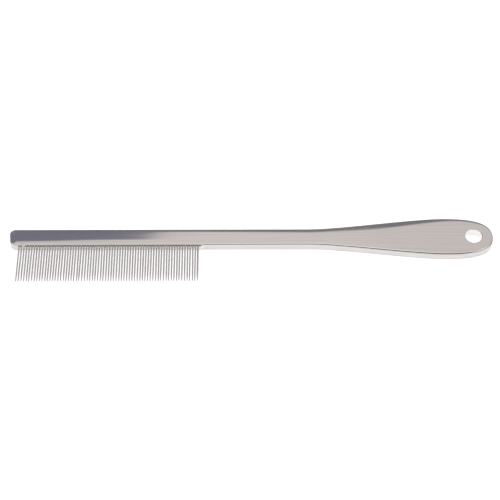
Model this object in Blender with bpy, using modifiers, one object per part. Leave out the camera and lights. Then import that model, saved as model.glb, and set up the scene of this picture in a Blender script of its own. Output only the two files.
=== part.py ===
"""Steel grooming comb: a polished handle bar with a row of round steel pins along its spine.

The comb lies flat with its underside on Z = 0. Its length runs along X with the paddle end at +X,
its pins point along -Y, and the origin is under the middle of its bounding box. Metres.
"""

import math

import bmesh
import bpy

# Handle bar, in plan
LENGTH = 0.190
SPINE_WIDTH = 0.0077
PADDLE_WIDTH = 0.0183
SPINE_END_RADIUS = 0.0032
FLARE_START = 0.117  # from the spine end, where the straight bar begins to widen
PADDLE_WIDEST = 0.1713  # from the spine end

# Bezier handles of the outline: how far each runs along the bar, and the blunt tip's across it
FLARE_START_HANDLE = 0.013
FLARE_END_HANDLE = 0.013
PADDLE_HANDLE = 0.0165
TIP_HANDLE = 0.0045

# Handle bar, through its thickness
THICKNESS = 0.0035
EDGE_RADIUS = 0.00045
OUTLINE_RESOLUTION = 10
EDGE_RESOLUTION = 2
FLAT_ANGLE = math.radians(0.05)  # faces that meet flatter than this are one face

# Hang hole
HOLE_DIAMETER = 0.0067
HOLE_FROM_TIP = 0.0077
HOLE_SIDES = 40

# Slot along the spine's front edge, which the pin roots sit in
SLOT_START = 0.0035  # from the spine end
SLOT_END = 0.0749
SLOT_DEPTH = 0.0031
SLOT_HEIGHT = 0.0010
PIN_PLANE = 0.00275  # height of the pins' centre line and of the slot's middle

# Pins
PIN_COUNT = 70
FIRST_PIN = 0.0040  # from the spine end
PIN_PITCH = 0.001005
PIN_DIAMETER = 0.0005
END_PIN_DIAMETER = 0.00075  # the stouter last pin, next to the shank
PIN_FREE_LENGTH = 0.0178
PIN_TAPER_LENGTH = 0.0040
PIN_TIP_DIAMETER = 0.00034
ROOT_GAP = 0.0003  # between the pin roots and the back of the slot
PIN_SIDES = 10

# Braze web that holds two roots together, hidden in the slot
WEB_LENGTH = 0.0012
WEB_HEIGHT = 0.0003

PIN_LENGTH = PIN_FREE_LENGTH + SLOT_DEPTH - ROOT_GAP
BAR_START_X = -LENGTH / 2
BAR_AXIS_Y = (SPINE_WIDTH / 2 + PIN_FREE_LENGTH - PADDLE_WIDTH / 2) / 2
SPINE_FRONT_Y = BAR_AXIS_Y - SPINE_WIDTH / 2
CIRCLE_HANDLE = 4 / 3 * math.tan(math.pi / 8)  # Bezier handle of a quarter circle of radius 1


def clear_scene():
    for item in list(bpy.data.objects):
        bpy.data.objects.remove(item, do_unlink=True)


def new_collection(name):
    collection = bpy.data.collections.new(name)
    bpy.context.scene.collection.children.link(collection)
    return collection


def metal(name, colour, roughness):
    material = bpy.data.materials.new(name)
    material.use_nodes = True
    shader = material.node_tree.nodes["Principled BSDF"]
    shader.inputs["Base Color"].default_value = (*colour, 1.0)
    shader.inputs["Metallic"].default_value = 1.0
    shader.inputs["Roughness"].default_value = roughness
    return material


def add_object(name, data, collection, location=(0.0, 0.0, 0.0)):
    item = bpy.data.objects.new(name, data)
    item.location = location
    collection.objects.link(item)
    return item


def make_cutter(item):
    item.hide_render = True
    item.display_type = "WIRE"


def boolean(item, other, operation):
    modifier = item.modifiers.new(f"{operation.lower()} {other.name}", "BOOLEAN")
    modifier.operation = operation
    modifier.solver = "EXACT"
    modifier.object = other


def evaluated_mesh(item):
    depsgraph = bpy.context.evaluated_depsgraph_get()
    return bpy.data.meshes.new_from_object(item.evaluated_get(depsgraph))


def smooth(mesh):
    mesh.shade_smooth()
    mesh.set_sharp_from_angle(angle=math.radians(40))


def outline_points():
    """The outline from the spine's rear corner round the paddle: (point, left handle, right handle).

    X is measured from the spine end and Y from the bar's centre line. A handle that is None faces a
    straight run.
    """
    half_spine = SPINE_WIDTH / 2
    half_paddle = PADDLE_WIDTH / 2
    radius = SPINE_END_RADIUS
    reach = radius * (1 - CIRCLE_HANDLE)
    flare_handle = (FLARE_START + FLARE_START_HANDLE, half_spine)
    rear = [
        ((0.0, half_spine - radius), None, (0.0, half_spine - reach)),
        ((radius, half_spine), (reach, half_spine), None),
        ((FLARE_START, half_spine), None, flare_handle),
        (
            (PADDLE_WIDEST, half_paddle),
            (PADDLE_WIDEST - FLARE_END_HANDLE, half_paddle),
            (PADDLE_WIDEST + PADDLE_HANDLE, half_paddle),
        ),
    ]
    tip = ((LENGTH, 0.0), (LENGTH, TIP_HANDLE), (LENGTH, -TIP_HANDLE))
    front = [
        tuple(place and (place[0], -place[1]) for place in (point, right, left))
        for point, left, right in reversed(rear)
    ]
    return [*rear, tip, *front]


def outline_curve(name):
    """A closed 2D curve with rounded edges, extruded to the bar's thickness."""
    curve = bpy.data.curves.new(name, "CURVE")
    curve.dimensions = "2D"
    curve.fill_mode = "BOTH"
    curve.resolution_u = OUTLINE_RESOLUTION
    curve.extrude = THICKNESS / 2 - EDGE_RADIUS
    curve.bevel_depth = EDGE_RADIUS
    curve.bevel_resolution = EDGE_RESOLUTION
    curve.offset = -EDGE_RADIUS
    spline = curve.splines.new("BEZIER")
    spline.use_cyclic_u = True
    points = outline_points()
    spline.bezier_points.add(len(points) - 1)
    for bezier, (point, left, right) in zip(spline.bezier_points, points):
        bezier.co = (*point, 0.0)
        bezier.handle_left_type = "FREE" if left else "VECTOR"
        bezier.handle_right_type = "FREE" if right else "VECTOR"
        if left:
            bezier.handle_left = (*left, 0.0)
        if right:
            bezier.handle_right = (*right, 0.0)
    return curve


def bar_blank(parts):
    """The bar before its hole and slot are cut: the outline curve made into a closed mesh."""
    place = (BAR_START_X, BAR_AXIS_Y, THICKNESS / 2)
    source = add_object("bar_outline", outline_curve("bar_outline"), parts, place)
    mesh = evaluated_mesh(source)
    form = bmesh.new()
    form.from_mesh(mesh)
    bmesh.ops.remove_doubles(form, verts=form.verts, dist=1e-6)
    face_edges = [edge for edge in form.edges if edge.calc_face_angle() < FLAT_ANGLE]
    bmesh.ops.dissolve_edges(form, edges=face_edges)
    bmesh.ops.recalc_face_normals(form, faces=form.faces)
    form.to_mesh(mesh)
    form.free()
    smooth(mesh)
    mesh.name = "handle_bar"
    blank = add_object("handle_bar", mesh, parts)
    blank.matrix_world = source.matrix_world.copy()
    blank.location = place
    bpy.data.objects.remove(source, do_unlink=True)
    return blank


def hole_cutter(cutters):
    form = bmesh.new()
    bmesh.ops.create_cone(
        form,
        cap_ends=True,
        segments=HOLE_SIDES,
        radius1=HOLE_DIAMETER / 2,
        radius2=HOLE_DIAMETER / 2,
        depth=2 * THICKNESS,
    )
    mesh = bpy.data.meshes.new("hang_hole")
    form.to_mesh(mesh)
    form.free()
    place = (BAR_START_X + LENGTH - HOLE_FROM_TIP, BAR_AXIS_Y, THICKNESS / 2)
    cutter = add_object("hang_hole", mesh, cutters, place)
    make_cutter(cutter)
    return cutter


def box_mesh(name, size, middle=(0.0, 0.0, 0.0)):
    form = bmesh.new()
    bmesh.ops.create_cube(form, size=1.0)
    bmesh.ops.scale(form, vec=size, verts=form.verts)
    bmesh.ops.translate(form, vec=middle, verts=form.verts)
    mesh = bpy.data.meshes.new(name)
    form.to_mesh(mesh)
    form.free()
    return mesh


def slot_cutter(cutters):
    size = (SLOT_END - SLOT_START, 2 * SLOT_DEPTH, SLOT_HEIGHT)
    place = (BAR_START_X + (SLOT_START + SLOT_END) / 2, SPINE_FRONT_Y, PIN_PLANE)
    cutter = add_object("pin_slot", box_mesh("pin_slot", size), cutters, place)
    make_cutter(cutter)
    return cutter


def make_handle_bar(parts, cutters):
    bar = bar_blank(parts)
    bar.data.materials.append(metal("plated_steel", (0.62, 0.61, 0.62), 0.14))
    boolean(bar, hole_cutter(cutters), "DIFFERENCE")
    boolean(bar, slot_cutter(cutters), "DIFFERENCE")


def pin_profile(diameter):
    """Half section of a pin from its rounded tip down to its root, as (radius, height)."""
    tip_radius = PIN_TIP_DIAMETER / 2
    radius = diameter / 2
    dome = [
        (tip_radius * math.sin(angle), PIN_LENGTH - tip_radius * (1 - math.cos(angle)))
        for angle in (0.0, math.radians(45), math.radians(90))
    ]
    shoulder = (radius, PIN_LENGTH - PIN_TAPER_LENGTH)
    return [*dome, shoulder, (radius, 0.0), (0.0, 0.0)]


def turned_pin(name, diameter, collection, x):
    """A pin turned about Z, with its root at the height of its origin."""
    profile = pin_profile(diameter)
    mesh = bpy.data.meshes.new(name)
    edges = [(i, i + 1) for i in range(len(profile) - 1)]
    mesh.from_pydata([(radius, 0.0, height) for radius, height in profile], edges, [])
    pin = add_object(name, mesh, collection, (x, 0.0, 0.0))
    screw = pin.modifiers.new("turn", "SCREW")
    screw.axis = "Z"
    screw.steps = screw.render_steps = PIN_SIDES
    screw.use_merge_vertices = True
    screw.merge_threshold = 1e-5
    return pin


def pin_pair_mesh(name, second_diameter, cutters):
    """Two pins a pitch apart with the web between their roots, as one mesh about their middle."""
    first = turned_pin("first_pin", PIN_DIAMETER, cutters, -PIN_PITCH / 2)
    second = turned_pin("second_pin", second_diameter, cutters, PIN_PITCH / 2)
    web_size = (PIN_PITCH, WEB_HEIGHT, WEB_LENGTH)
    web = add_object("web", box_mesh("web", web_size, (0.0, 0.0, WEB_LENGTH)), cutters)
    boolean(web, first, "UNION")
    boolean(web, second, "UNION")
    mesh = evaluated_mesh(web)
    for item in (first, second, web):
        bpy.data.objects.remove(item, do_unlink=True)
    smooth(mesh)
    mesh.name = name
    return mesh


def make_pins(parts, cutters):
    """The pins in pairs, along a row whose empty stands at the first root and points forward."""
    steel = metal("pin_steel", (0.46, 0.46, 0.45), 0.22)
    pair = pin_pair_mesh("pin_pair", PIN_DIAMETER, cutters)
    last_pair = pin_pair_mesh("pin_pair_end", END_PIN_DIAMETER, cutters)
    row_place = (
        BAR_START_X + FIRST_PIN,
        SPINE_FRONT_Y + SLOT_DEPTH - ROOT_GAP,
        PIN_PLANE,
    )
    row = add_object("pin_row", None, parts, row_place)
    row.rotation_euler = (math.pi / 2, 0.0, 0.0)
    for mesh in (pair, last_pair):
        mesh.materials.append(steel)
    pairs = PIN_COUNT // 2
    for index in range(pairs):
        mesh = last_pair if index == pairs - 1 else pair
        middle = (2 * index + 0.5) * PIN_PITCH
        item = add_object(f"pin_pair_{index + 1:02d}", mesh, parts, (middle, 0.0, 0.0))
        item.parent = row


def main():
    clear_scene()
    parts = new_collection("grooming_comb")
    cutters = new_collection("cutters")
    make_handle_bar(parts, cutters)
    make_pins(parts, cutters)


main()
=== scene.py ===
"""Looks of the steel grooming comb: the polished bar, its single pins, the braze and the studio.

Everything is in metres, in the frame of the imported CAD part, which lies flat on Z = 0 with its
length along X, the paddle at +X and the pins along -Y.
"""

import math
import random

import bmesh
import bpy
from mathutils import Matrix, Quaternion, Vector
from mathutils.geometry import interpolate_bezier


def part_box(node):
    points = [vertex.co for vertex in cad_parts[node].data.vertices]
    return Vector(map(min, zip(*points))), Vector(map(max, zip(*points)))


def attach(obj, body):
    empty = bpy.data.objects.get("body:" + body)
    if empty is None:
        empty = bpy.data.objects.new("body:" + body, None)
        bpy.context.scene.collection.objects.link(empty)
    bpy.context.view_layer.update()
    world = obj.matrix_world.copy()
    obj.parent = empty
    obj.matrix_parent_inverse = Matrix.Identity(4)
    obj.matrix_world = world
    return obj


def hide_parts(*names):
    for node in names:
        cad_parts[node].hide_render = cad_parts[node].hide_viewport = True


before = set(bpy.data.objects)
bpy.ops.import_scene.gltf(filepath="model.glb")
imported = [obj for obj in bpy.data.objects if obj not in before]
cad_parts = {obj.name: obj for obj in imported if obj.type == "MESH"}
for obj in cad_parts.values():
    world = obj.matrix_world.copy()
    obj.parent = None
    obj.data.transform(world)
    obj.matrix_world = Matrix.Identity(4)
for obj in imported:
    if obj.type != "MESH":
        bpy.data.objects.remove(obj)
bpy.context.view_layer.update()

# Handle bar, from its CAD node's box
bar_low, bar_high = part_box("handle_bar")
LENGTH = bar_high.x - bar_low.x
PADDLE_WIDTH = bar_high.y - bar_low.y
AXIS_Y = (bar_high.y + bar_low.y) / 2

# Outline in plan, measured from the spine end and from the bar's centre line
SPINE_WIDTH = 0.0079
SPINE_END_RADIUS = 0.0023
END_SKEW = 0.09  # the spine end leans out by this much of the distance behind the centre line
END_SKEW_REACH = 0.004  # and stops doing so at this distance from it
FLARE_START = 0.117  # where the straight bar begins to widen
FLARE_START_HANDLE = 0.013  # Bezier handles: how far each runs along the bar
FLARE_END_HANDLE = 0.013
PADDLE_WIDEST = 0.1713
PADDLE_HANDLE = 0.0165
TIP_HANDLE = 0.0045  # the blunt tip's handle runs across the bar
OUTLINE_STEP = 0.0004
BEZIER_POINTS = 200  # of a curve, before its points are spaced evenly

# Section: a face that is flat in the middle and falls away towards a small rounded edge
CROWN_REACH = 0.0031
CROWN_SLOPE = math.radians(6.0)
LOWER_CROWN_SLOPE = math.radians(1.5)
CROWN_POWER = 2
CROWN_STEPS = 9
EDGE_RADIUS = 0.0005  # of the upper edge
SLOT_EDGE_RADIUS = 0.0003  # of the upper edge above the slot
EDGE_CHANGE = 0.0015  # the length over which one becomes the other
PADDLE_EDGE_RADIUS = 0.0008  # of the upper front edge where the paddle is widest
TIP_EDGE_FADE = 0.004  # how far in front of the centre line that radius is reached at the tip
LOWER_EDGE_RADIUS = 0.0002
EDGE_STEPS = 8
WALL_RING = 0.00008  # a ring this far past an edge keeps the wall's shading flat
SHARP_ANGLE = math.radians(35.0)  # faces that meet more steeply than this show an edge

# Hang hole
HOLE_RADIUS = 0.00335
HOLE_FROM_TIP = 0.0077
HOLE_EDGE = 0.00022
HOLE_EDGE_STEPS = 4
HOLE_SIDES = 96

# Slot for the pin roots
SLOT_START = 0.0035
SLOT_END = 0.0749
SLOT_DEPTH = 0.0031
SLOT_HEIGHT = 0.00062
SLOT_MIDDLE = 0.00272  # height above the floor
SLOT_END_STEPS = 12

# Braze: a strip in the slot, a skim wiped over the wall below it and a bead on its upper lip
BRAZE_DEPTH = 0.0011  # from the spine's front face to the strip
BRAZE_END_GAP = 0.0001
BRAZE_SIDE_GAP = 0.00003
BRAZE_BACK_GAP = 0.00002
BRAZE_END_SHARE = 0.04  # least share of its height, squared, at the strip's round ends
BRAZE_CREST = 0.00006  # how far the strip's front bulges, and how far it wanders
BRAZE_STEPS = 4  # for each pin
SKIM_START = 0.0031
SKIM_END = 0.0757
SKIM_LOW = 0.0007  # height of its lower border
SKIM_THICKNESS = 0.00005
SKIM_THINNEST = 0.6  # share of that
SKIM_STEPS = 2  # for each pin
BEAD_FROM_END = 0.0056
BEAD_SUNK = 0.00008  # its middle, behind the spine's front face
BEAD_HEIGHT = 0.00322
BEAD_SIZE = (0.0009, 0.0006, 0.00042)  # half sizes
BEAD_SIDES = 24
BEAD_STEPS = 12  # from its top to its bottom

# Pins
PIN_COUNT = 70
FIRST_PIN = 0.00385  # from the spine end
PIN_PITCH = 0.001011
PIN_PLANE = 0.00275  # height of the pins' centre lines
PIN_RADIUS = 0.00029
END_PIN_RADIUS = 0.000375  # of the stouter last pin, next to the shank
PIN_TIP_RADIUS = 0.00017
PIN_FREE_LENGTH = 0.0178  # in front of the spine
PIN_SLOT_GAP = 0.00002  # above and below a root
PIN_SLIM_END = 0.0002  # a stout pin stays as slim as its root this far out of the slot
PIN_SLIM_CHANGE = 0.0002
PIN_TAPER = 0.0040
PIN_SIDES = 14
PIN_STEPS = 10
PIN_TAPER_STEPS = 8
PIN_TIP_STEPS = 5
PIN_SHARP_ANGLE = math.radians(50.0)
LEAN = -0.00026  # how far the pins' tips lean towards the spine end
LEAN_SPREAD = 0.00005  # and wander from that
LENGTH_SPREAD = 0.00008

# Metals: colours as linear light. The noise scales are per metre
MOTTLE_RANGE = (0.3, 0.7)  # of the noise, where a metal's first and second tone are reached
BAR_TONES = ((0.58, 0.57, 0.565), (0.63, 0.619, 0.614))
# paler steel for the hang hole's wall: painted light, brightening its mirror of the shaded floor
HOLE_WALL_PAINTED_LIGHT = (0.83, 0.825, 0.815)
BAR_ROUGHNESS = (0.04, 0.12)
FINE_LINES = (3200.0, 60.0)  # noise scale across and along the polishing lines
BROAD_LINES = (1700.0, 22.0)
LINE_DETAIL = 3.0
LINE_TURN = 0.006  # how long a radian round the hole counts along the lines
FINE_BUMP = (0.2, 0.000002)  # strength and distance
BROAD_BUMP = (0.25, 0.0000025)
PIN_TONES = ((0.66, 0.645, 0.635), (0.72, 0.705, 0.695))
PIN_NOISE = 900.0
PIN_DETAIL = 3.0
PIN_ROUGHNESS = (0.28, 0.38)
# near-black steel in the slot: painted shade of its recess
SLOT_SHADE_TONES = ((0.12, 0.115, 0.11), (0.18, 0.172, 0.166))
SLOT_NOISE = 1200.0
SLOT_ROUGHNESS = 0.5
# dark braze: painted shade deep in the slot between the pin roots
BRAZE_SHADE_TONES = ((0.16, 0.15, 0.145), (0.26, 0.25, 0.24))
BRAZE_NOISE = 1500.0
BRAZE_ROUGHNESS = 0.55
BRAZE_BUMP = (0.6, 0.00005)
# pale skim: painted light on the wall below the slot, against the shade under the pins
SKIM_LIGHT_TONES = ((0.66, 0.63, 0.61), (0.76, 0.73, 0.71))
SKIM_NOISE = 1100.0
SKIM_ROUGHNESS = 0.5
SKIM_METALLIC = 0.5
# near-white bead: a painted glint on the slot's upper lip
BEAD_GLINT_TONES = ((0.86, 0.85, 0.83), (0.95, 0.94, 0.92))
BEAD_NOISE = 1500.0
BEAD_ROUGHNESS = 0.12

# Floor: a white sweep that glows softly, as if lit from below as well
FLOOR_HALF_SIZE = 3.0
FLOOR_GAP = 0.00003
FLOOR_COLOUR = (0.9, 0.9, 0.9)
FLOOR_ROUGHNESS = 0.9
FLOOR_SPECULAR = 0.1
FLOOR_GLOW = 0.40

# Camera
CAMERA_ELEVATION = math.radians(51.0)
CAMERA_AZIMUTH = math.radians(2.83)
CAMERA_ROLL = math.radians(2.05)
CAMERA_DISTANCE = 0.645
CAMERA_LENS = 119.0
CAMERA_SENSOR = 36.0
CAMERA_CLIP_START = 0.01
CAMERA_TARGET = Vector((-0.00113, -0.00059, 0.0035))

# Studio: azimuths and elevations in degrees, colours as linear light
WALL_SPAN = 24.0  # how far to each side the wall and panel change
PANEL_LOW_EDGE = [  # its elevation at each azimuth
    (-24, 60), (-9.5, 55.6), (-8.5, 55.4), (-7.4, 54.2), (-6.3, 53.3), (-5.0, 53.0), (-3.6, 53.0),
    (-2.8, 52.4), (-2.4, 49.5), (-2.1, 45.5), (-1.8, 43.2), (0.5, 43.5), (5.6, 44.8), (6.6, 45.4),
    (7.6, 47.4), (8.2, 48.0), (9.0, 48.6), (9.7, 49.1), (10.2, 48.2), (10.9, 44.5), (12.2, 40.5),
    (24, 38),
]
PANEL_SOFTNESS = 1.2
WALL_COLOURS = [
    (-24, (0.29, 0.285, 0.34)),
    (-18, (0.27, 0.265, 0.33)),
    (-12, (0.26, 0.255, 0.32)),
    (-4, (0.26, 0.255, 0.32)),
    (0, (0.32, 0.31, 0.32)),
    (6, (0.31, 0.30, 0.31)),
    (9, (0.27, 0.26, 0.30)),
    (12, (0.29, 0.28, 0.30)),
    (24, (0.34, 0.33, 0.34)),
]
STREAK_COLOUR = (0.42, 0.41, 0.46)  # a pale streak on the wall
STREAK_RIGHT = (-11.0, -12.5)  # it fades in between these azimuths
STREAK_LEFT = (-17.0, -15.5)
STREAK_TOP = (49.0, 47.5)  # and between these elevations
PANEL_COLOURS = [
    (-9, (0.88, 0.845, 0.82)),
    (-4, (0.92, 0.875, 0.85)),
    (0, (0.97, 0.895, 0.865)),
    (8, (0.95, 0.885, 0.855)),
    (12, (0.89, 0.83, 0.805)),
    (24, (0.85, 0.79, 0.77)),
]
SOFTBOX_BACK = 0.47  # how far the softbox reaches back and to the front, per metre above
SOFTBOX_FRONT = -0.02
SOFTBOX_BACK_BLUR = 0.06
SOFTBOX_FRONT_BLUR = 0.03
SOFTBOX_DRAW_IN = 0.1  # how much less far back it reaches past the paddle
SOFTBOX_DRAW_IN_START = 14.0  # azimuth
SOFTBOX_COLOUR = (1.4, 1.35, 1.32)
SOFTBOX_SIDE = 0.5  # sideways share of a direction at which it ends
SOFTBOX_SIDE_BLUR = 0.05
LOWEST_OVERHEAD = 0.001  # upward share of a direction, against division by nothing
ROOM_COLOUR = (0.09, 0.085, 0.09)
ROOM_FRONT = -1.2  # where, per metre above, the dark room ends in a pale front
ROOM_FRONT_BLUR = 0.1
FRONT_COLOUR = (0.9, 0.87, 0.85)
CARD_COLOUR = (0.85, 0.82, 0.8)  # pale cards in front, past both ends of the comb
CARD_SIDE = (0.3, 0.45)  # sideways shares of a direction between which they fade in
SEEN_COLOUR = (0.95, 0.95, 0.96)  # the backdrop, as the camera sees it
FRONT_LAMP_SIZE = 0.12
FRONT_LAMP_ENERGY = 5.0
FRONT_LAMP_PLACE = Vector((-0.034, -0.69, 0.855))

SEED = 7  # of the pins' and the braze's small irregularities
START_X = bar_low.x
FRONT_Y = AXIS_Y - SPINE_WIDTH / 2
CIRCLE_HANDLE = 4 / 3 * math.tan(math.pi / 8)


# ---------------------------------------------------------------- mesh helpers


def finish_mesh(form, name, sharp=SHARP_ANGLE):
    """Makes an object of a bmesh, smooth except where its faces meet sharply."""
    bmesh.ops.recalc_face_normals(form, faces=form.faces)
    mesh = bpy.data.meshes.new(name)
    form.to_mesh(mesh)
    form.free()
    mesh.shade_smooth()
    mesh.set_sharp_from_angle(angle=sharp)
    piece = bpy.data.objects.new(name, mesh)
    bpy.context.scene.collection.objects.link(piece)
    return piece


def bridge(form, rings):
    """Quads between each ring of vertices and the next, all of the same length."""
    for lower, upper in zip(rings, rings[1:]):
        count = len(lower)
        for index in range(count):
            after = (index + 1) % count
            form.faces.new((lower[index], lower[after], upper[after], upper[index]))


def close_ends(form, rings):
    form.faces.new(rings[0])
    form.faces.new(rings[-1])


def fan(form, ring, place):
    """Closes a ring with triangles that meet at a place."""
    tip = form.verts.new(place)
    for index in range(len(ring)):
        form.faces.new((ring[index - 1], ring[index], tip))


def circle_points(sides):
    turns = (2 * math.pi * number / sides for number in range(sides))
    return [Vector((math.cos(turn), math.sin(turn))) for turn in turns]


def edge_key(ends):
    """Names an edge by the sum of its two ends."""
    first, second = ends
    return tuple(round(value, 6) for value in first + second)


# ---------------------------------------------------------------- handle bar


def resample(points, step):
    """Points along a polyline at even steps, its ends kept."""
    lengths = [0.0]
    for before, after in zip(points, points[1:]):
        lengths.append(lengths[-1] + (after - before).length)
    count = max(2, round(lengths[-1] / step))
    spaced = []
    index = 0
    for number in range(count + 1):
        goal = lengths[-1] * number / count
        while index < len(points) - 2 and lengths[index + 1] < goal:
            index += 1
        span = lengths[index + 1] - lengths[index]
        spaced.append(points[index].lerp(points[index + 1], (goal - lengths[index]) / span))
    return spaced


def bezier(start, start_handle, end_handle, end):
    knots = [Vector((*place, 0.0)) for place in (start, start_handle, end_handle, end)]
    curve = interpolate_bezier(*knots, BEZIER_POINTS)
    return [Vector((place.x, place.y)) for place in curve]


def half_outline():
    """The rear half of the outline, from the middle of the spine end to the paddle's tip."""
    half_spine = SPINE_WIDTH / 2
    half_paddle = PADDLE_WIDTH / 2
    radius = SPINE_END_RADIUS
    reach = radius * (1 - CIRCLE_HANDLE)
    flat_y = half_spine - radius
    runs = [
        [Vector((0.0, 0.0)), Vector((0.0, flat_y))],
        bezier((0.0, flat_y), (0.0, half_spine - reach), (reach, half_spine), (radius, half_spine)),
        [Vector((radius, half_spine)), Vector((FLARE_START, half_spine))],
        bezier(
            (FLARE_START, half_spine),
            (FLARE_START + FLARE_START_HANDLE, half_spine),
            (PADDLE_WIDEST - FLARE_END_HANDLE, half_paddle),
            (PADDLE_WIDEST, half_paddle),
        ),
        bezier(
            (PADDLE_WIDEST, half_paddle),
            (PADDLE_WIDEST + PADDLE_HANDLE, half_paddle),
            (LENGTH, TIP_HANDLE),
            (LENGTH, 0.0),
        ),
    ]
    points = []
    for run in runs:
        points.extend(resample(run, OUTLINE_STEP)[bool(points) :])
    return points


def closed_outline():
    """The whole outline clockwise from the spine end, each point with its inward normal."""
    rear = half_outline()
    front = [Vector((point.x, -point.y)) for point in reversed(rear[1:-1])]
    points = [*rear, *front]
    for point in points:
        point.x -= END_SKEW * point.y * max(1 - point.x / END_SKEW_REACH, 0.0)
    result = []
    for index, point in enumerate(points):
        tangent = (points[(index + 1) % len(points)] - points[index - 1]).normalized()
        result.append((point, Vector((tangent.y, -tangent.x))))
    return result


def edge_section(radius, slope):
    """Half of the bar's section, from the flat of its face out and down: (inset, drop)."""
    inset_arc = radius * (1 - math.sin(slope))
    run = CROWN_REACH - inset_arc
    fall = math.tan(slope) * run / CROWN_POWER
    section = []
    for number in range(CROWN_STEPS):
        share = number / CROWN_STEPS
        section.append((CROWN_REACH - share * run, fall * share**CROWN_POWER))
    arc_middle = fall + radius * math.cos(slope)
    for number in range(EDGE_STEPS + 1):
        angle = slope + (math.pi / 2 - slope) * number / EDGE_STEPS
        inset = radius * (1 - math.sin(angle))
        section.append((inset, arc_middle - radius * math.cos(angle)))
    section.append((0.0, arc_middle + WALL_RING))
    return section


def hole_section():
    """Half of the hole's section, from the face into the hole: (radius, drop)."""
    section = []
    for number in range(HOLE_EDGE_STEPS + 1):
        angle = math.pi / 2 * number / HOLE_EDGE_STEPS
        radius = HOLE_RADIUS + HOLE_EDGE * (1 - math.sin(angle))
        section.append((radius, HOLE_EDGE * (1 - math.cos(angle))))
    section.append((HOLE_RADIUS, HOLE_EDGE + WALL_RING))
    return section


def edge_radius(point):
    """Radius of the upper edge at a point of the outline."""
    if point.y > 0:
        return EDGE_RADIUS
    outside = max(SLOT_START - point.x, point.x - SLOT_END, 0.0)
    share = min(outside / EDGE_CHANGE, 1.0)
    flared = min(max(point.x - FLARE_START, 0.0) / (PADDLE_WIDEST - FLARE_START), 1.0)
    flared *= min(-point.y / TIP_EDGE_FADE, 1.0)
    radius = SLOT_EDGE_RADIUS + (EDGE_RADIUS - SLOT_EDGE_RADIUS) * share
    return radius + (PADDLE_EDGE_RADIUS - EDGE_RADIUS) * flared


def rings_down(form, places, sections, face_height, direction):
    """Rings from a face's border on, one for each step of the sections, one section per point."""
    rings = []
    for steps in zip(*sections):
        loop = []
        for (point, normal), (inset, drop) in zip(places, steps):
            spot = point + normal * inset
            height = face_height + direction * drop
            loop.append(form.verts.new((START_X + spot.x, AXIS_Y + spot.y, height)))
        rings.append(loop)
    return rings


def through_rings(form, places, upper_sections, lower_sections):
    """Rings from the upper face's border down to the lower face's, bridged."""
    rings = rings_down(form, places, upper_sections, bar_high.z, -1)
    rings += reversed(rings_down(form, places, lower_sections, bar_low.z, 1))
    bridge(form, rings)
    return rings[0], rings[-1]


def loop_edges(form, loop):
    return [form.edges.get((loop[i - 1], loop[i])) for i in range(len(loop))]


def make_bar():
    """The bar, with the borders of its flat faces marked sharp, and the slot cut into it."""
    form = bmesh.new()
    outline = closed_outline()
    upper_edges = [edge_section(edge_radius(point), CROWN_SLOPE) for point, _ in outline]
    lower_edges = [edge_section(LOWER_EDGE_RADIUS, LOWER_CROWN_SLOPE)] * len(outline)
    outer = through_rings(form, outline, upper_edges, lower_edges)
    middle = Vector((LENGTH - HOLE_FROM_TIP, 0.0))
    circle = [(middle, outward) for outward in circle_points(HOLE_SIDES)]
    hole_edges = [hole_section()] * HOLE_SIDES
    inner = through_rings(form, circle, hole_edges, hole_edges)
    borders = set()
    for outer_loop, inner_loop in zip(outer, inner):
        edges = loop_edges(form, outer_loop) + loop_edges(form, inner_loop)
        borders.update(edge_key(vertex.co for vertex in edge.verts) for edge in edges)
        bmesh.ops.triangle_fill(form, edges=edges, use_beauty=True, use_dissolve=False)
    piece = finish_mesh(form, "polished_bar")
    mesh = piece.data
    for edge in mesh.edges:
        if edge_key(mesh.vertices[index].co for index in edge.vertices) in borders:
            edge.use_edge_sharp = True
    piece.data.materials.append(bar_metal())
    cut_slot(piece)
    return piece


def slot_tool():
    """A bar with round ends, as an end mill leaves, along the spine's front face."""
    form = bmesh.new()
    radius = SLOT_HEIGHT / 2
    ends = ((SLOT_END - radius, -math.pi / 2), (SLOT_START + radius, math.pi / 2))
    places = []
    for middle, start in ends:
        for number in range(SLOT_END_STEPS + 1):
            angle = start + math.pi * number / SLOT_END_STEPS
            places.append((middle + radius * math.cos(angle), radius * math.sin(angle)))
    loops = []
    for y in (FRONT_Y - SLOT_DEPTH, FRONT_Y + SLOT_DEPTH):
        loops.append([form.verts.new((START_X + x, y, SLOT_MIDDLE + z)) for x, z in places])
    bridge(form, loops)
    close_ends(form, loops)
    tool = finish_mesh(form, "slot_tool")
    tool.data.materials.append(slot_shade_metal())
    return tool


def cut_slot(piece):
    """Cuts the slot out of the bar; its faces take the tool's milled metal, painted dark as shade.
    """
    tool = slot_tool()
    cut = piece.modifiers.new("slot", "BOOLEAN")
    cut.operation = "DIFFERENCE"
    cut.solver = "EXACT"
    cut.material_mode = "TRANSFER"
    cut.object = tool
    depsgraph = bpy.context.evaluated_depsgraph_get()
    mesh = bpy.data.meshes.new_from_object(piece.evaluated_get(depsgraph))
    piece.modifiers.clear()
    piece.data = mesh
    bpy.data.objects.remove(tool, do_unlink=True)


# ---------------------------------------------------------------- pins and braze


def pin_radius(reach, length, radius):
    """Radius at a distance from the root: slim in the slot, straight, a taper, a rounded tip."""
    if reach < length - PIN_FREE_LENGTH + PIN_SLIM_END:
        radius = min(radius, SLOT_HEIGHT / 2 - PIN_SLOT_GAP)
    from_tip = length - reach
    if from_tip < PIN_TIP_RADIUS:
        across = 1 - from_tip / PIN_TIP_RADIUS
        return PIN_TIP_RADIUS * math.sqrt(max(1 - across * across, 0.0))
    share = min((from_tip - PIN_TIP_RADIUS) / PIN_TAPER, 1.0)
    blend = share * (2 - share)
    return PIN_TIP_RADIUS + (radius - PIN_TIP_RADIUS) * blend


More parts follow.
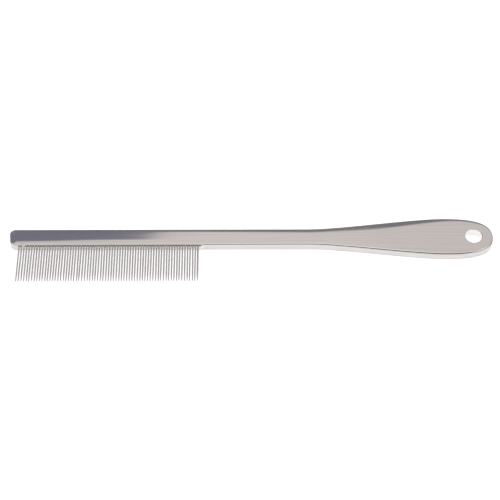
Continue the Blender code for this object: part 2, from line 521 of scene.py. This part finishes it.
def pin_reaches(length):
    """Where a pin has rings, as distances from its root."""
    free = length - PIN_FREE_LENGTH
    full = PIN_SLIM_END + PIN_SLIM_CHANGE
    straight = PIN_FREE_LENGTH - PIN_TAPER - full
    reaches = [0.0, free, free + PIN_SLIM_END, free + full]
    reaches += [free + full + straight * step / PIN_STEPS for step in range(1, PIN_STEPS)]
    for step in range(PIN_TAPER_STEPS):
        reaches.append(length - PIN_TAPER * (1 - step / PIN_TAPER_STEPS))
    for step in range(PIN_TIP_STEPS):
        turn = math.pi / 2 * step / PIN_TIP_STEPS
        reaches.append(length - PIN_TIP_RADIUS * (1 - math.sin(turn)))
    return sorted(set(reaches))


def make_pin(number, random_source):
    """One pin, from its root in the slot out along -Y, with a slight lean of its own."""
    node_low, node_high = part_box(f"pin_pair_{number // 2 + 1:02d}")
    radius = END_PIN_RADIUS if number == PIN_COUNT - 1 else PIN_RADIUS
    root_y = node_high.y
    length = node_high.y - node_low.y - abs(random_source.gauss(0, LENGTH_SPREAD))
    root_x = START_X + FIRST_PIN + number * PIN_PITCH
    lean = random_source.gauss(LEAN, LEAN_SPREAD)
    rise = random_source.gauss(0, LEAN_SPREAD)
    free = length - PIN_FREE_LENGTH
    form = bmesh.new()
    rings = []
    for reach in pin_reaches(length):
        share = max(reach - free, 0.0) / PIN_FREE_LENGTH
        middle = Vector((root_x + lean * share, root_y - reach, PIN_PLANE + rise * share))
        size = pin_radius(reach, length, radius)
        ring = [middle + size * Vector((turn.x, 0.0, turn.y)) for turn in circle_points(PIN_SIDES)]
        rings.append([form.verts.new(place) for place in ring])
    bridge(form, rings)
    form.faces.new(rings[0])
    fan(form, rings[-1], (root_x + lean, root_y - length, PIN_PLANE + rise))
    return finish_mesh(form, f"pin_{number + 1:02d}", PIN_SHARP_ANGLE)


def make_braze(random_source):
    """The strip of braze that fills the back of the slot, with a slightly uneven front."""
    form = bmesh.new()
    start = START_X + SLOT_START + BRAZE_END_GAP
    end = START_X + SLOT_END - BRAZE_END_GAP
    steps = BRAZE_STEPS * PIN_COUNT
    rings = []
    for step in range(steps + 1):
        x = start + (end - start) * step / steps
        close = min(x - start, end - x)
        half = SLOT_HEIGHT / 2 - BRAZE_SIDE_GAP
        half *= math.sqrt(min(1.0, max(BRAZE_END_SHARE, close / half)))
        front = FRONT_Y + BRAZE_DEPTH + random_source.uniform(-1, 1) * BRAZE_CREST
        back = FRONT_Y + SLOT_DEPTH - BRAZE_BACK_GAP
        crest = front - BRAZE_CREST
        places = [(back, -half), (front, -half), (crest, 0.0), (front, half), (back, half)]
        rings.append([form.verts.new((x, y, SLOT_MIDDLE + z)) for y, z in places])
    bridge(form, rings)
    close_ends(form, rings)
    return finish_mesh(form, "braze_seam")


def make_skim(random_source):
    """A thin skim of braze over the wall below the slot, a little past the pins at both ends; its
    pale, dull tone is painted light that lifts the wall out of the pins' shade.
    """
    form = bmesh.new()
    steps = SKIM_STEPS * PIN_COUNT
    back = FRONT_Y + SKIM_THICKNESS
    rings = []
    for step in range(steps + 1):
        x = START_X + SKIM_START + (SKIM_END - SKIM_START) * step / steps
        front = FRONT_Y - SKIM_THICKNESS * random_source.uniform(SKIM_THINNEST, 1.0)
        top = SLOT_MIDDLE - SLOT_HEIGHT / 2
        low = SKIM_LOW + random_source.uniform(0, 1) * SKIM_THICKNESS
        places = [(back, low), (front, low), (front, top), (back, top)]
        rings.append([form.verts.new((x, y, z)) for y, z in places])
    bridge(form, rings)
    close_ends(form, rings)
    return finish_mesh(form, "braze_skim")


def make_bead():
    """A smear of braze, wiped over the slot's upper lip at the second and third pin; its near-white
    tone is a painted glint.
    """
    middle = Vector((START_X + BEAD_FROM_END, FRONT_Y + BEAD_SUNK, BEAD_HEIGHT))
    size = Vector(BEAD_SIZE)
    form = bmesh.new()
    rings = []
    for number in range(1, BEAD_STEPS):
        slope = math.pi * number / BEAD_STEPS
        ring = [(math.sin(slope) * turn).to_3d() for turn in circle_points(BEAD_SIDES)]
        level = Vector((0.0, 0.0, math.cos(slope)))
        rings.append([form.verts.new(middle + size * (place + level)) for place in ring])
    bridge(form, rings)
    fan(form, rings[0], middle + size * Vector((0.0, 0.0, 1.0)))
    fan(form, rings[-1], middle - size * Vector((0.0, 0.0, 1.0)))
    return finish_mesh(form, "braze_bead")


# ---------------------------------------------------------------- materials


class Nodes:
    """Short-hand for building a node tree."""

    def __init__(self, tree):
        self.tree = tree

    def add(self, kind, **values):
        node = self.tree.nodes.new(kind)
        for name, value in values.items():
            setattr(node, name, value)
        return node

    def link(self, output, socket):
        self.tree.links.new(output, socket)

    def math(self, operation, first, second=None):
        node = self.add("ShaderNodeMath", operation=operation)
        for socket, value in zip(node.inputs, (first, second)):
            if value is None:
                continue
            if isinstance(value, (int, float)):
                socket.default_value = value
            else:
                self.link(value, socket)
        return node.outputs[0]

    def fade(self, value, start, end, smooth=True):
        """0 at start to 1 at end."""
        node = self.add("ShaderNodeMapRange")
        node.interpolation_type = "SMOOTHSTEP" if smooth else "LINEAR"
        node.inputs["From Min"].default_value = start
        node.inputs["From Max"].default_value = end
        self.link(value, node.inputs[0])
        return node.outputs[0]

    def spread(self, value, low, high):
        """A value from 0 to 1, as one from low to high."""
        node = self.add("ShaderNodeMapRange")
        node.inputs["To Min"].default_value = low
        node.inputs["To Max"].default_value = high
        self.link(value, node.inputs[0])
        return node.outputs[0]

    def noise(self, vector, scale, detail=2.0):
        node = self.add("ShaderNodeTexNoise")
        node.inputs["Scale"].default_value = scale
        node.inputs["Detail"].default_value = detail
        self.link(vector, node.inputs["Vector"])
        return node.outputs[0]

    def vector_math(self, operation, first, second=None):
        node = self.add("ShaderNodeVectorMath", operation=operation)
        self.link(first, node.inputs[0])
        if second is not None:
            node.inputs[1].default_value = second
        return node.outputs["Value" if operation == "LENGTH" else "Vector"]

    def bump(self, height, strength, distance, below=None):
        """A bump, on top of the one below."""
        node = self.add("ShaderNodeBump")
        node.inputs["Strength"].default_value = strength
        node.inputs["Distance"].default_value = distance
        self.link(height, node.inputs["Height"])
        if below is not None:
            self.link(below, node.inputs["Normal"])
        return node.outputs[0]

    def mix(self, factor, first, second):
        """A colour between two, each a socket or a constant."""
        node = self.add("ShaderNodeMix", data_type="RGBA")
        self.link(factor, node.inputs["Factor"])
        for socket, value in zip((node.inputs[6], node.inputs[7]), (first, second)):
            if isinstance(value, tuple):
                socket.default_value = (*value, 1.0)
            else:
                self.link(value, socket)
        return node.outputs[2]

    def ramp(self, factor, stops):
        """A colour that changes along a factor, from (position, colour) stops."""
        node = self.add("ShaderNodeValToRGB")
        elements = node.color_ramp.elements
        while len(elements) < len(stops):
            elements.new(0.5)
        for element, (position, colour) in zip(elements, stops):
            element.position = position
            element.color = (*colour, 1.0)
        self.link(factor, node.inputs[0])
        return node.outputs[0]


def new_metal(name, roughness, metallic=1.0):
    material = bpy.data.materials.new(name)
    material.use_nodes = True
    nodes = Nodes(material.node_tree)
    shader = material.node_tree.nodes["Principled BSDF"]
    shader.inputs["Metallic"].default_value = metallic
    shader.inputs["Roughness"].default_value = roughness
    return material, nodes, shader


def object_place(nodes):
    return nodes.add("ShaderNodeTexCoord").outputs["Object"]


def polishing_lines(nodes):
    """Coordinates across and along lines that follow the bar and turn round the hang hole."""
    split = nodes.add("ShaderNodeSeparateXYZ")
    nodes.link(object_place(nodes), split.inputs[0])
    hole_x = START_X + LENGTH - HOLE_FROM_TIP
    beyond = nodes.math("MAXIMUM", nodes.math("SUBTRACT", split.outputs[0], hole_x), 0.0)
    off_axis = nodes.math("SUBTRACT", split.outputs[1], AXIS_Y)
    beyond_square = nodes.math("MULTIPLY", beyond, beyond)
    off_axis_square = nodes.math("MULTIPLY", off_axis, off_axis)
    radius = nodes.math("SQRT", nodes.math("ADD", beyond_square, off_axis_square))
    across = nodes.math("MULTIPLY", radius, nodes.math("SIGN", off_axis))
    angle = nodes.math("ARCTAN2", beyond, nodes.math("ABSOLUTE", off_axis))
    turned = nodes.math("MULTIPLY", angle, LINE_TURN)
    along = nodes.math("ADD", nodes.math("MINIMUM", split.outputs[0], hole_x), turned)
    return across, along, split.outputs[2]


def lines_noise(nodes, lines, across_scale, along_scale):
    """Noise stretched along the polishing lines."""
    across, along, height = lines
    join = nodes.add("ShaderNodeCombineXYZ")
    nodes.link(nodes.math("MULTIPLY", along, along_scale), join.inputs[0])
    nodes.link(nodes.math("MULTIPLY", across, across_scale), join.inputs[1])
    nodes.link(nodes.math("MULTIPLY", height, across_scale), join.inputs[2])
    return nodes.noise(join.outputs[0], 1.0, LINE_DETAIL)


def hole_wall_light_mask(nodes):
    """1 from the hang hole's edge inwards, where the wall's steel is painted paler as painted light
    that brightens its mirror of the shaded floor, 0 elsewhere.
    """
    middle = (START_X + LENGTH - HOLE_FROM_TIP, AXIS_Y, 0.0)
    offset = nodes.vector_math("SUBTRACT", object_place(nodes), middle)
    radius = nodes.vector_math("LENGTH", nodes.vector_math("MULTIPLY", offset, (1.0, 1.0, 0.0)))
    return nodes.fade(radius, HOLE_RADIUS + HOLE_EDGE / 2, HOLE_RADIUS + HOLE_EDGE / 8)


def two_tones(nodes, noise, tones):
    return nodes.ramp(noise, list(zip(MOTTLE_RANGE, tones)))


def bar_metal():
    """Brushed and plated steel, painted paler in the hole as painted light."""
    material, nodes, shader = new_metal("plated_bar_steel", BAR_ROUGHNESS[0])
    lines = polishing_lines(nodes)
    fine = lines_noise(nodes, lines, *FINE_LINES)
    broad = lines_noise(nodes, lines, *BROAD_LINES)
    colour = nodes.mix(hole_wall_light_mask(nodes), two_tones(nodes, broad, BAR_TONES), HOLE_WALL_PAINTED_LIGHT)
    nodes.link(colour, shader.inputs["Base Color"])
    nodes.link(nodes.spread(fine, *BAR_ROUGHNESS), shader.inputs["Roughness"])
    grooves = nodes.bump(fine, *FINE_BUMP)
    nodes.link(nodes.bump(broad, *BROAD_BUMP, grooves), shader.inputs["Normal"])
    return material


def mottled_metal(name, noise_scale, tones, roughness, metallic=1.0):
    material, nodes, shader = new_metal(name, roughness, metallic)
    noise = nodes.noise(object_place(nodes), noise_scale)
    nodes.link(two_tones(nodes, noise, tones), shader.inputs["Base Color"])
    return material


def pin_metal():
    """Drawn steel wire, a little uneven in its gloss."""
    material, nodes, shader = new_metal("drawn_pin_steel", PIN_ROUGHNESS[0])
    noise = nodes.noise(object_place(nodes), PIN_NOISE, PIN_DETAIL)
    nodes.link(two_tones(nodes, noise, PIN_TONES), shader.inputs["Base Color"])
    nodes.link(nodes.spread(noise, *PIN_ROUGHNESS), shader.inputs["Roughness"])
    return material


def slot_shade_metal():
    """Milled steel, painted near-black as painted shade of the slot's recess."""
    return mottled_metal("slot_steel_painted_shade", SLOT_NOISE, SLOT_SHADE_TONES, SLOT_ROUGHNESS)


def braze_shade_metal():
    """Braze as it set in the slot, with a rough skin, painted dark as shade deep in the slot."""
    material, nodes, shader = new_metal("braze", BRAZE_ROUGHNESS)
    noise = nodes.noise(object_place(nodes), BRAZE_NOISE)
    nodes.link(two_tones(nodes, noise, BRAZE_SHADE_TONES), shader.inputs["Base Color"])
    nodes.link(nodes.bump(noise, *BRAZE_BUMP), shader.inputs["Normal"])
    return material


# the skim's pale, half-metal tone is painted light on the shaded wall below the slot
def skim_light_metal():
    return mottled_metal("wiped_braze_painted_light", SKIM_NOISE, SKIM_LIGHT_TONES, SKIM_ROUGHNESS, SKIM_METALLIC)


# the bead's near-white, glossy tone is a painted glint
def bead_glint_metal():
    return mottled_metal("braze_painted_glint", BEAD_NOISE, BEAD_GLINT_TONES, BEAD_ROUGHNESS)


# ---------------------------------------------------------------- studio


def make_floor():
    form = bmesh.new()
    bmesh.ops.create_grid(form, x_segments=1, y_segments=1, size=FLOOR_HALF_SIZE)
    floor = finish_mesh(form, "floor")
    floor.location.z = bar_low.z - FLOOR_GAP
    material = bpy.data.materials.new("white_sweep")
    material.use_nodes = True
    shader = material.node_tree.nodes["Principled BSDF"]
    shader.inputs["Base Color"].default_value = (*FLOOR_COLOUR, 1.0)
    shader.inputs["Roughness"].default_value = FLOOR_ROUGHNESS
    shader.inputs["Specular IOR Level"].default_value = FLOOR_SPECULAR
    shader.inputs["Emission Color"].default_value = (1.0, 1.0, 1.0, 1.0)
    shader.inputs["Emission Strength"].default_value = FLOOR_GLOW
    floor.data.materials.append(material)


def around(stops):
    """Stops at azimuths, as places on a ramp across the wall's span."""
    return [((azimuth + WALL_SPAN) / (2 * WALL_SPAN), value) for azimuth, value in stops]


def wall_and_panel(nodes, azimuth, elevation):
    """A dark wall behind the comb with a pale streak on it, and a pale panel above."""
    turn = nodes.fade(azimuth, -WALL_SPAN, WALL_SPAN, smooth=False)
    low_edges = [(place, (edge / 90,) * 3) for place, edge in PANEL_LOW_EDGE]
    low_edge = nodes.math("MULTIPLY", nodes.ramp(turn, around(low_edges)), 90.0)
    height = nodes.math("SUBTRACT", elevation, low_edge)
    wall = nodes.ramp(turn, around(WALL_COLOURS))
    sides = (nodes.fade(azimuth, *STREAK_RIGHT), nodes.fade(azimuth, *STREAK_LEFT))
    streak = nodes.math("MULTIPLY", *sides)
    streak = nodes.math("MULTIPLY", streak, nodes.fade(elevation, *STREAK_TOP))
    wall = nodes.mix(streak, wall, STREAK_COLOUR)
    panel = nodes.ramp(turn, around(PANEL_COLOURS))
    return nodes.mix(nodes.fade(height, -PANEL_SOFTNESS, PANEL_SOFTNESS), wall, panel)


def softbox_share(nodes, azimuth, overhead, sideways):
    """1 in the softbox overhead, which reaches less far back past the paddle."""
    past_paddle = nodes.fade(azimuth, SOFTBOX_DRAW_IN_START, WALL_SPAN)
    back = nodes.math("ADD", overhead, nodes.math("MULTIPLY", past_paddle, SOFTBOX_DRAW_IN))
    blur = SOFTBOX_BACK_BLUR
    inside = nodes.fade(back, SOFTBOX_BACK + blur, SOFTBOX_BACK - blur)
    blur = SOFTBOX_SIDE_BLUR
    beside = nodes.fade(sideways, SOFTBOX_SIDE + blur, SOFTBOX_SIDE - blur)
    return nodes.math("MULTIPLY", inside, beside)


def front_room(nodes, overhead, sideways):
    """The dark room in front, its pale far side and the pale cards past the comb's ends."""
    blur = ROOM_FRONT_BLUR
    far = nodes.fade(overhead, ROOM_FRONT + blur, ROOM_FRONT - blur)
    room = nodes.mix(far, ROOM_COLOUR, FRONT_COLOUR)
    return nodes.mix(nodes.fade(sideways, *CARD_SIDE), room, CARD_COLOUR)


def make_world():
    """A studio in a sphere, as colours of the directions that the steel reflects.

    Azimuth is 0 behind the comb and grows towards the paddle, both in degrees. Overhead is how
    far back a direction reaches per metre above, and sideways how much of it runs along X.
    """
    world = bpy.data.worlds.new("studio")
    bpy.context.scene.world = world
    world.use_nodes = True
    nodes = Nodes(world.node_tree)
    background = world.node_tree.nodes["Background"]
    split = nodes.add("ShaderNodeSeparateXYZ")
    nodes.link(nodes.add("ShaderNodeTexCoord").outputs["Generated"], split.inputs[0])
    x, y, z = split.outputs
    elevation = nodes.math("DEGREES", nodes.math("ARCSINE", z))
    azimuth = nodes.math("DEGREES", nodes.math("ARCTAN2", x, y))
    overhead = nodes.math("DIVIDE", y, nodes.math("MAXIMUM", z, LOWEST_OVERHEAD))
    sideways = nodes.math("ABSOLUTE", x)
    colour = wall_and_panel(nodes, azimuth, elevation)
    colour = nodes.mix(softbox_share(nodes, azimuth, overhead, sideways), colour, SOFTBOX_COLOUR)
    blur = SOFTBOX_FRONT_BLUR
    in_front = nodes.fade(overhead, SOFTBOX_FRONT + blur, SOFTBOX_FRONT - blur)
    colour = nodes.mix(in_front, colour, front_room(nodes, overhead, sideways))
    seen = nodes.add("ShaderNodeLightPath").outputs["Is Camera Ray"]
    nodes.link(nodes.mix(seen, colour, SEEN_COLOUR), background.inputs["Color"])


def make_lamp():
    """A small lamp in front, for the floor between the pins; it doesn't mirror in the steel."""
    lamp = bpy.data.lights.new("front_lamp", "AREA")
    lamp.shape = "DISK"
    lamp.size = FRONT_LAMP_SIZE
    lamp.energy = FRONT_LAMP_ENERGY
    light = bpy.data.objects.new("front_lamp", lamp)
    light.location = FRONT_LAMP_PLACE
    light.rotation_euler = (-FRONT_LAMP_PLACE).to_track_quat("-Z", "Y").to_euler()
    light.visible_glossy = False
    bpy.context.scene.collection.objects.link(light)


def make_camera():
    """From above the pins' side, turned a little towards the paddle and rolled a little."""
    camera = bpy.data.cameras.new("camera")
    camera.lens = CAMERA_LENS
    camera.sensor_width = CAMERA_SENSOR
    camera.clip_start = CAMERA_CLIP_START
    item = bpy.data.objects.new("camera", camera)
    bpy.context.scene.collection.objects.link(item)
    forward = Vector(
        (
            math.sin(CAMERA_AZIMUTH) * math.cos(CAMERA_ELEVATION),
            math.cos(CAMERA_AZIMUTH) * math.cos(CAMERA_ELEVATION),
            -math.sin(CAMERA_ELEVATION),
        )
    )
    item.location = CAMERA_TARGET - forward * CAMERA_DISTANCE
    level = forward.to_track_quat("-Z", "Y")
    item.rotation_euler = (level @ Quaternion((0.0, 0.0, 1.0), CAMERA_ROLL)).to_euler()
    bpy.context.scene.camera = item


# ---------------------------------------------------------------- assembly


def main():
    bpy.context.scene.view_settings.view_transform = "Standard"
    random_source = random.Random(SEED)
    bar = make_bar()
    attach(bar, "root")
    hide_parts("handle_bar")
    steel = pin_metal()
    for number in range(PIN_COUNT):
        pin = make_pin(number, random_source)
        pin.data.materials.append(steel)
        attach(pin, "root")
        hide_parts(f"pin_pair_{number // 2 + 1:02d}")
    braze = make_braze(random_source)
    braze.data.materials.append(braze_shade_metal())
    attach(braze, "root")
    skim = make_skim(random_source)
    skim.data.materials.append(skim_light_metal())
    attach(skim, "root")
    bead = make_bead()
    bead.data.materials.append(bead_glint_metal())
    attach(bead, "root")
    make_floor()
    make_world()
    make_lamp()
    make_camera()


main()
